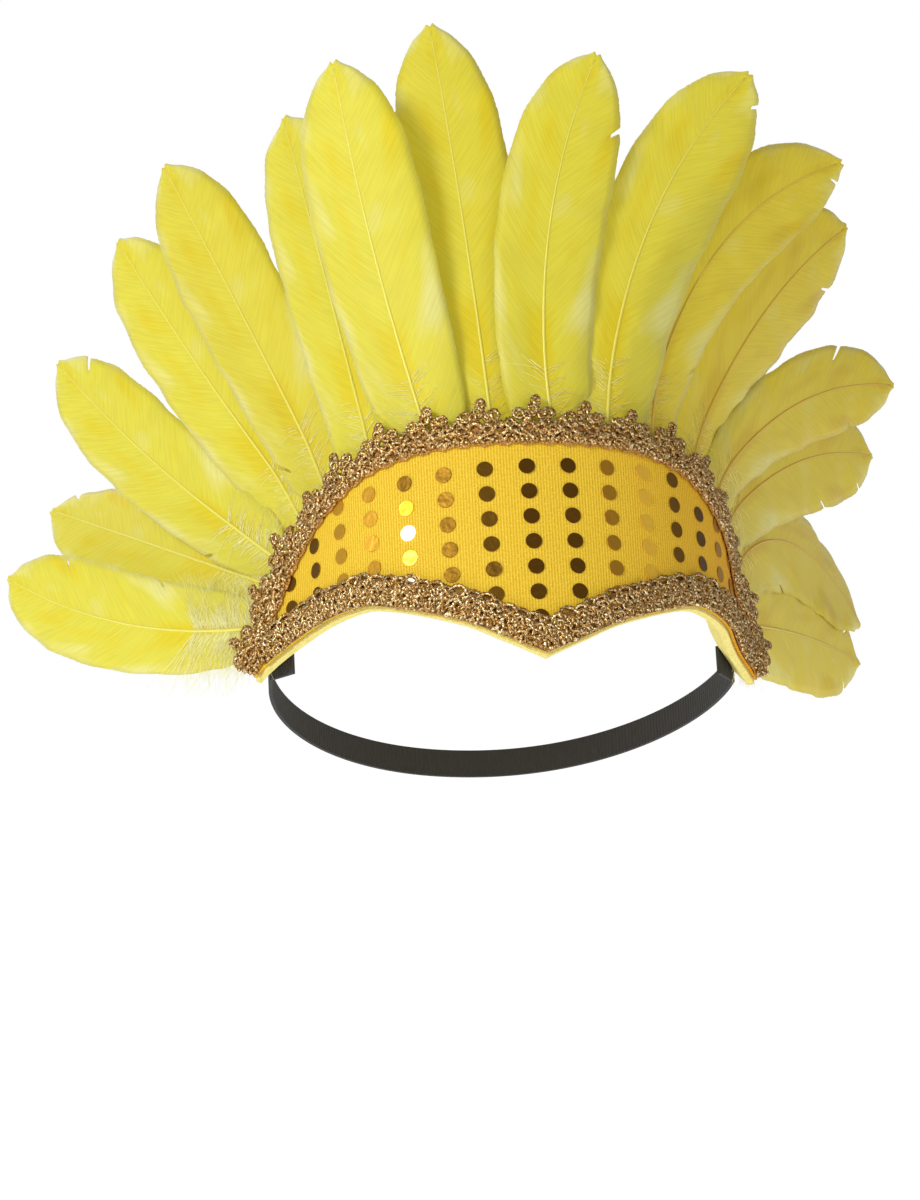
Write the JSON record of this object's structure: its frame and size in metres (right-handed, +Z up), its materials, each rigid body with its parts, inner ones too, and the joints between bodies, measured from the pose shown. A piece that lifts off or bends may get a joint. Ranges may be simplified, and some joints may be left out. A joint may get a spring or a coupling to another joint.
{
  "type": "feather headdress",
  "caption": "Yellow carnival headdress: a curved sequinned forehead band with antique-gold braid, a fan of dyed feathers behind it and a dark elastic strap.",
  "frame": {"origin": "middle of the head opening, on the level of the ring that the band and the strap make", "axes": "+Z up as worn, -Y the way the wearer faces, +X towards the wearer's left"},
  "size_m": [0.326, 0.2037, 0.2648],
  "materials": {
    "pale_foam": "matte",
    "sequin_knit": "knit with sequins",
    "antique_gold_cord": "metallic thread",
    "dyed_feather": "dyed feather",
    "dark_elastic": "woven"
  },
  "bodies": {
    "root": {"band_backing": "pale_foam", "sequin_fabric": "sequin_knit", "top_braid": "antique_gold_cord", "bottom_braid": "antique_gold_cord", "feather_01": "dyed_feather", "feather_02": "dyed_feather", "feather_03": "dyed_feather", "feather_04": "dyed_feather", "feather_05": "dyed_feather", "feather_06": "dyed_feather", "feather_07": "dyed_feather", "feather_08": "dyed_feather", "feather_09": "dyed_feather", "feather_10": "dyed_feather", "feather_11": "dyed_feather", "feather_12": "dyed_feather", "feather_13": "dyed_feather", "feather_14": "dyed_feather", "feather_15": "dyed_feather", "feather_16": "dyed_feather", "elastic_strap": "dark_elastic"}
  },
  "joints": []
}
